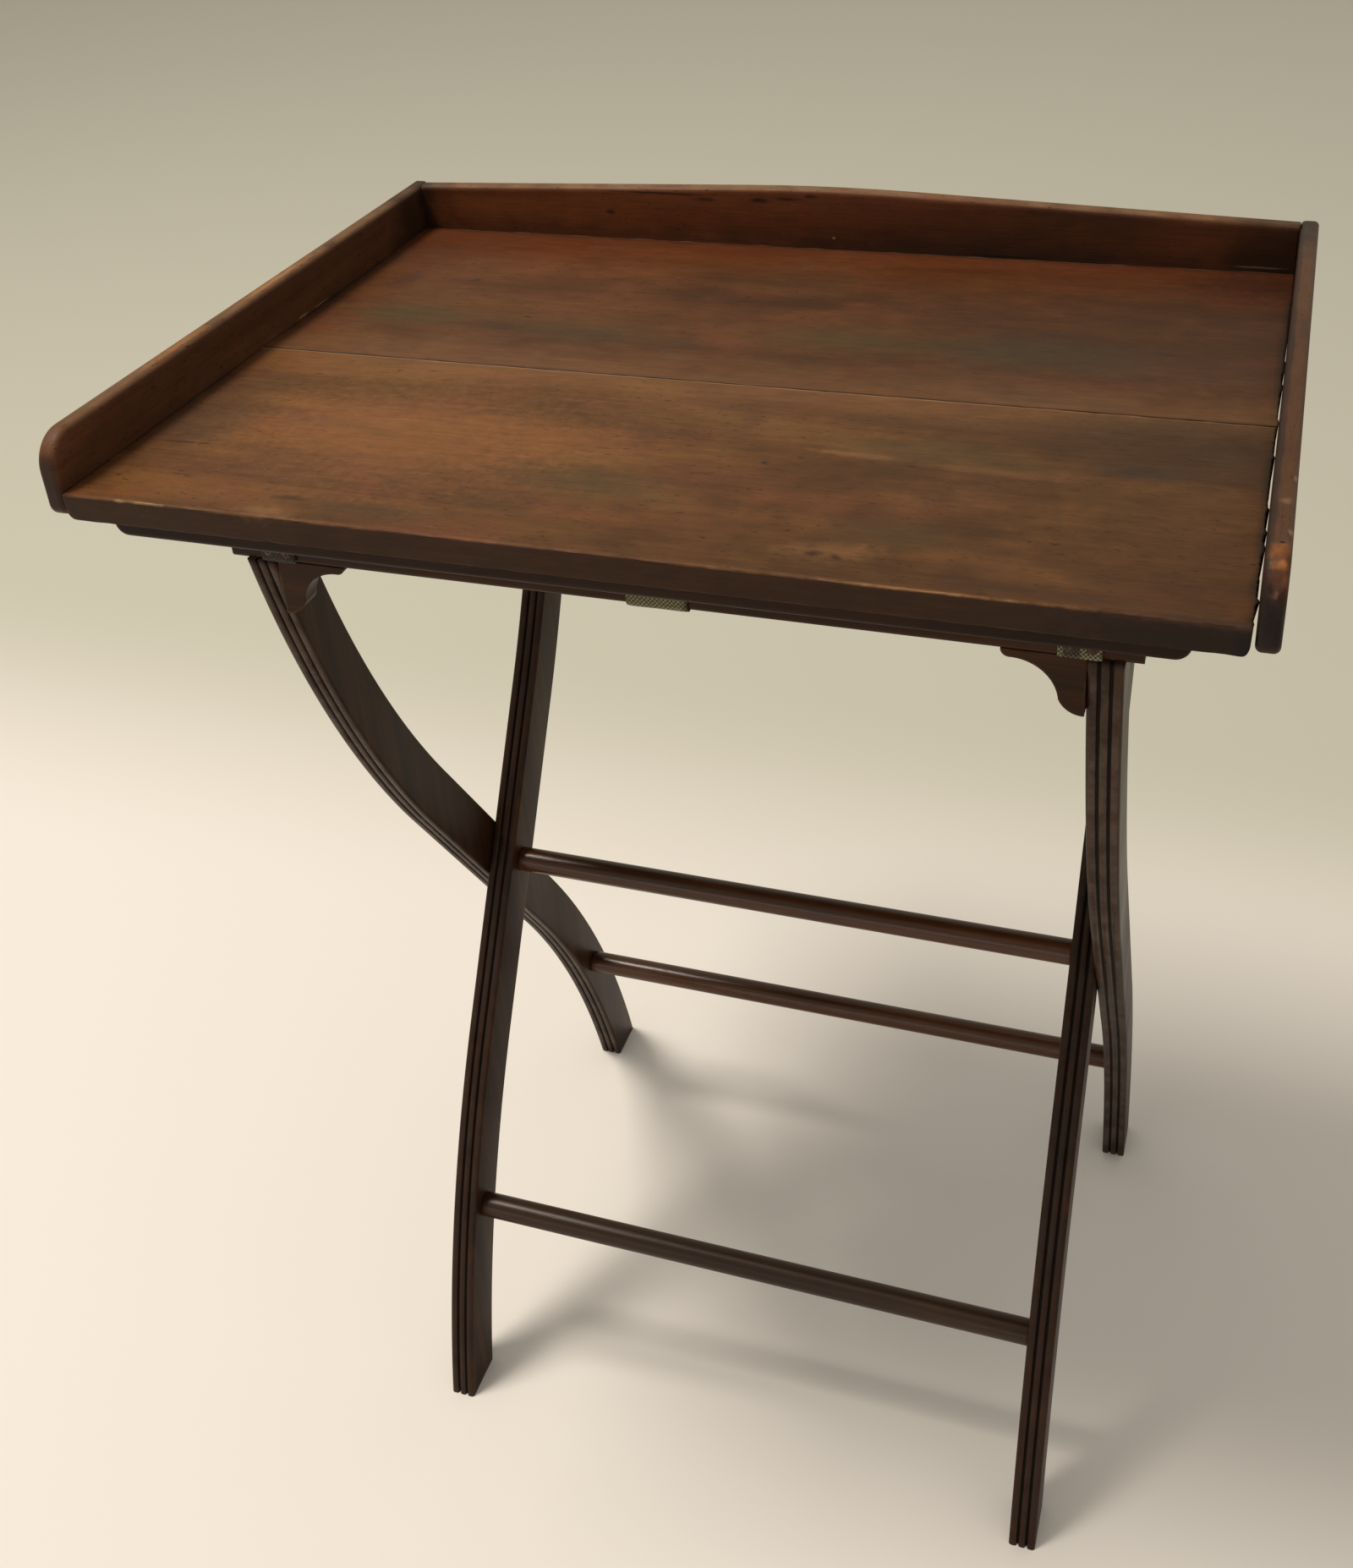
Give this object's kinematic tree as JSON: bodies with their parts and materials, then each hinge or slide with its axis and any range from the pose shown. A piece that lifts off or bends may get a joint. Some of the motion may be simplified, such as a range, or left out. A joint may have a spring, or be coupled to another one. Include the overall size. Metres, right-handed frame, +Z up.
{
  "type": "butler's tray on folding stand",
  "caption": "Rectangular wooden serving tray with a raised three-sided gallery, resting on a folding X-frame stand with curved reeded legs, rods and webbing straps.",
  "frame": {"origin": "on the floor, under the middle of the tray's outline", "axes": "+X along the tray's long side to its right end, +Y from its open front to its raised back, +Z up"},
  "size_m": [0.69, 0.484, 0.876],
  "materials": {
    "board_mahogany": "old worn varnish, satin",
    "gallery_mahogany": "old varnish, satin, worn edges",
    "batten_mahogany": "old varnish, satin",
    "stand_mahogany": "dark polish, satin",
    "rod_mahogany": "dark polish, satin",
    "webbing": "plain woven jute, matt",
    "screw_steel": "dulled steel",
    "tack_steel": "blued steel"
  },
  "bodies": {
    "outer_frame": {"outer_leg_left": "stand_mahogany", "outer_leg_right": "stand_mahogany", "front_top_rail": "stand_mahogany", "front_bracket_left": "stand_mahogany", "front_bracket_right": "stand_mahogany", "outer_lower_rod": "rod_mahogany", "strap_left": "webbing", "strap_middle": "webbing", "strap_right": "webbing", "tack_front_left_1": "tack_steel", "tack_front_left_2": "tack_steel", "tack_front_middle_1": "tack_steel", "tack_front_middle_2": "tack_steel", "tack_front_middle_3": "tack_steel", "tack_front_right_1": "tack_steel", "tack_front_right_2": "tack_steel"},
    "inner_frame": {"inner_leg_left": "stand_mahogany", "inner_leg_right": "stand_mahogany", "back_top_rail": "stand_mahogany", "back_bracket_left": "stand_mahogany", "back_bracket_right": "stand_mahogany", "inner_lower_rod": "rod_mahogany", "pivot_rod": "rod_mahogany", "tack_back_left_1": "tack_steel", "tack_back_left_2": "tack_steel", "tack_back_middle_1": "tack_steel", "tack_back_middle_2": "tack_steel", "tack_back_middle_3": "tack_steel", "tack_back_right_1": "tack_steel", "tack_back_right_2": "tack_steel"},
    "tray": {"tray_board_front": "board_mahogany", "tray_board_back": "board_mahogany", "gallery_left": "gallery_mahogany", "gallery_right": "gallery_mahogany", "gallery_back": "gallery_mahogany", "batten_front": "batten_mahogany", "batten_back": "batten_mahogany", "batten_screw_front_1": "screw_steel", "batten_screw_front_2": "screw_steel", "batten_screw_front_3": "screw_steel", "batten_screw_front_4": "screw_steel", "batten_screw_back_1": "screw_steel", "batten_screw_back_2": "screw_steel", "batten_screw_back_3": "screw_steel", "batten_screw_back_4": "screw_steel"}
  },
  "joints": [
    {"name": "tray_lift", "type": "slide", "parent": "outer_frame", "child": "tray", "axis": [0, 0, 1], "range_m": [0, 0.23038]},
    {"name": "frame_fold", "type": "hinge", "parent": "outer_frame", "child": "inner_frame", "pos_m": [0.015, 0, 0.393], "axis": [1, 0, 0], "range_deg": [0, 44], "deforming": ["strap_left", "strap_middle", "strap_right"]}
  ],
  "couplings": [
    {"joint": "frame_fold", "follows": "tray_lift", "rad_per_m": 3.3333}
  ]
}
